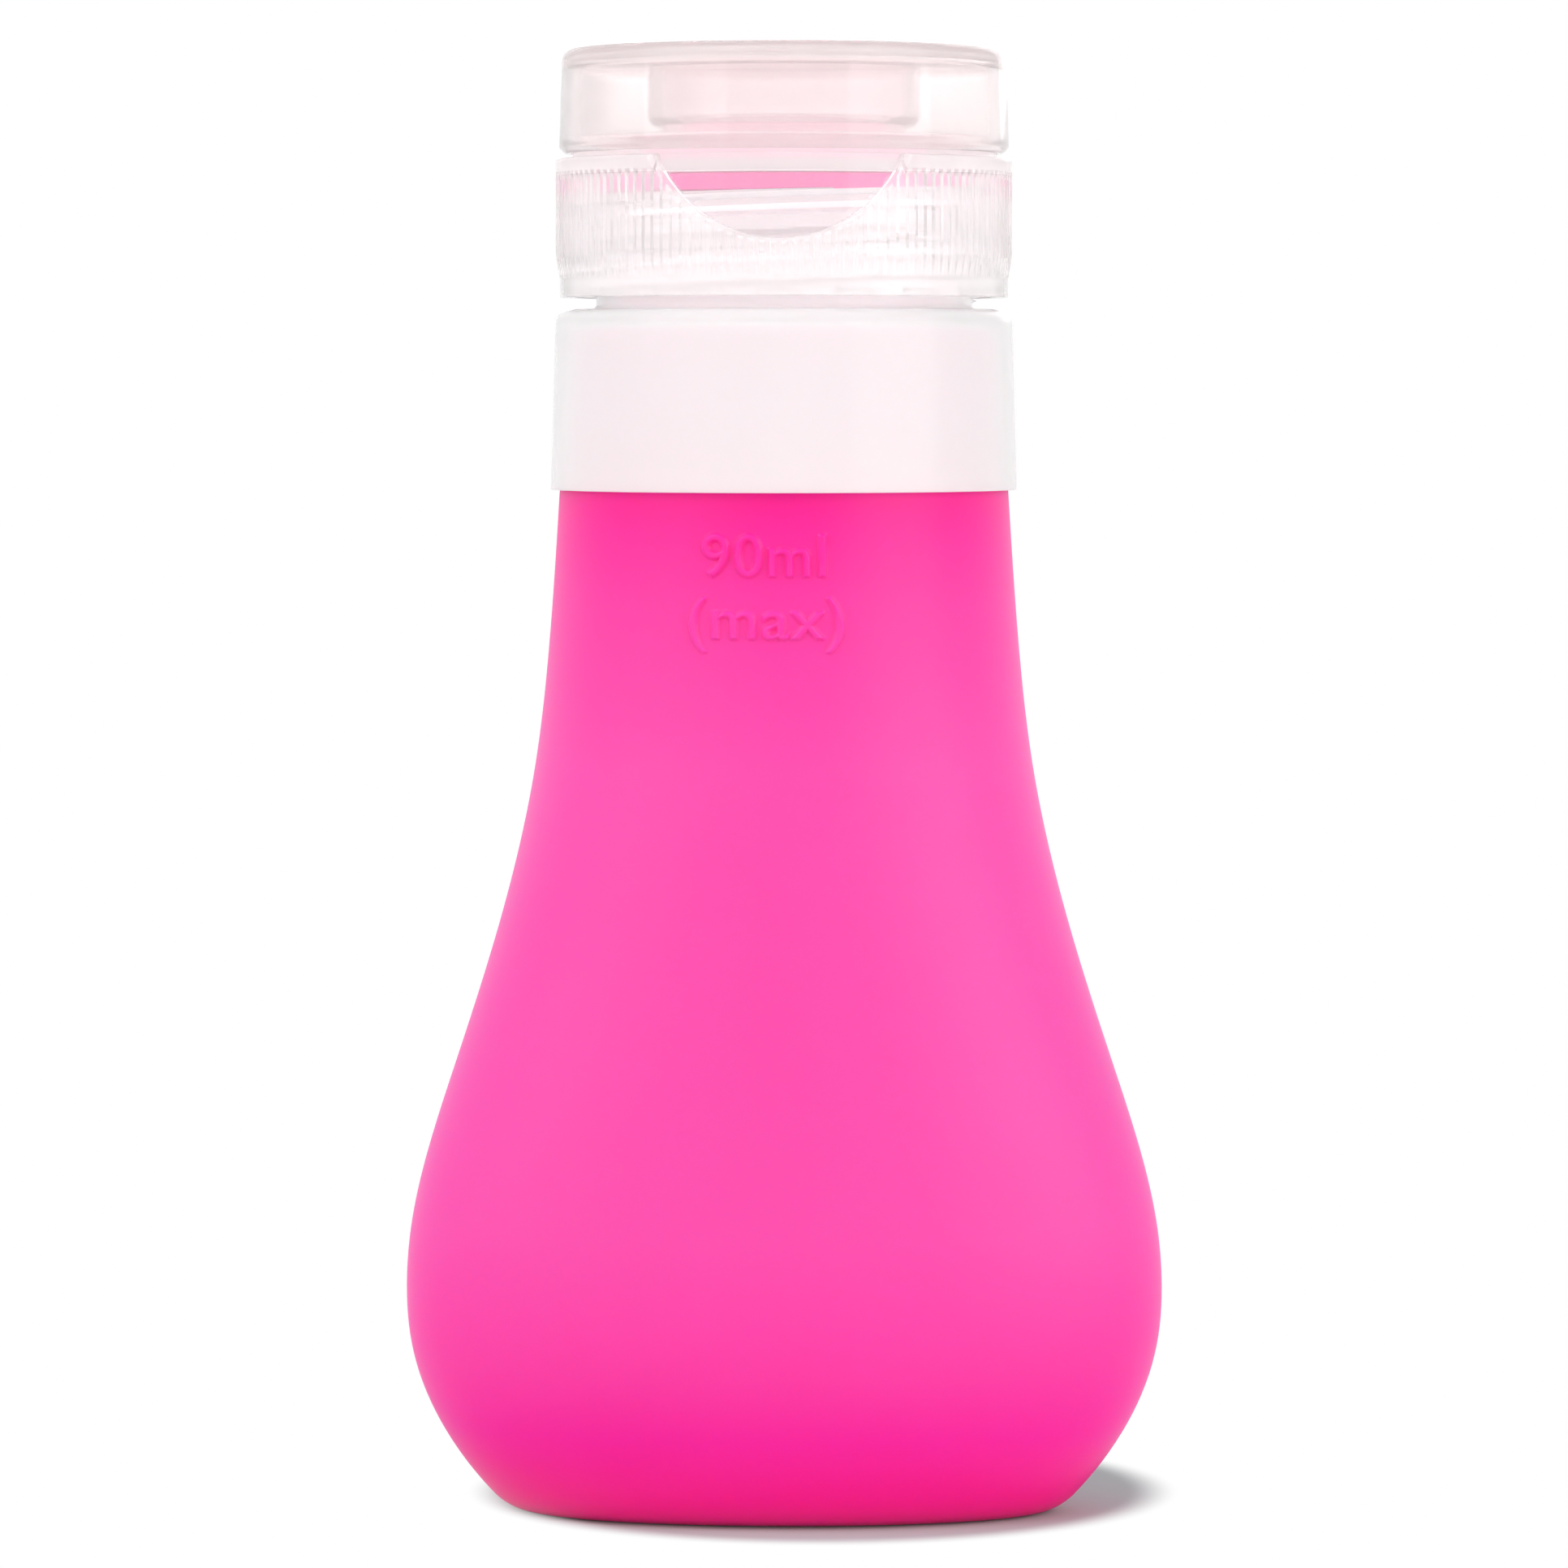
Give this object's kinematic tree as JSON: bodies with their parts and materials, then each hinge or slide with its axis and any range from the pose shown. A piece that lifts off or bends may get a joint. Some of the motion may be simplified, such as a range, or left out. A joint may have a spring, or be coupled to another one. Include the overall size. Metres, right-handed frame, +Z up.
{
  "type": "travel silicone bottle",
  "caption": "Soft squeeze bottle with an oval pear-shaped silicone body, a threaded collar, and a ribbed screw cap with a flip lid and a drip-stop valve.",
  "frame": {"origin": "on the floor, at the middle of the oval base", "axes": "+Z up along the bottle's axis, +X across the wide side, front with the thumb notch towards -Y, lid hinge towards +Y"},
  "size_m": [0.0622, 0.0382, 0.1201],
  "materials": {
    "silicone": "satin",
    "milky_polypropylene": "satin",
    "clear_polypropylene": "satin"
  },
  "bodies": {
    "bottle": {"bottle_body": "silicone", "threaded_collar": "milky_polypropylene"},
    "cap_lift": {"valve_retainer": "clear_polypropylene"},
    "cap": {"cap_base": "clear_polypropylene", "drip_valve": "silicone", "living_hinge": "clear_polypropylene"},
    "lid": {"flip_lid": "clear_polypropylene"}
  },
  "joints": [
    {"name": "cap_rise", "type": "slide", "parent": "bottle", "child": "cap_lift", "axis": [0, 0, 1], "range_m": [0, 0.01101]},
    {"name": "cap_turn", "type": "hinge", "parent": "cap_lift", "child": "cap", "pos_m": [0, 0, 0.105], "axis": [0, 0, 1], "range_deg": [0, 990]},
    {"name": "lid_flip", "type": "hinge", "parent": "cap", "child": "lid", "pos_m": [0, 0.01908, 0.1113], "axis": [-1, 0, 0], "range_deg": [0, 165], "deforming": ["living_hinge"]}
  ],
  "couplings": [
    {"joint": "cap_rise", "follows": "cap_turn", "m_per_rad": 0.00063662}
  ]
}
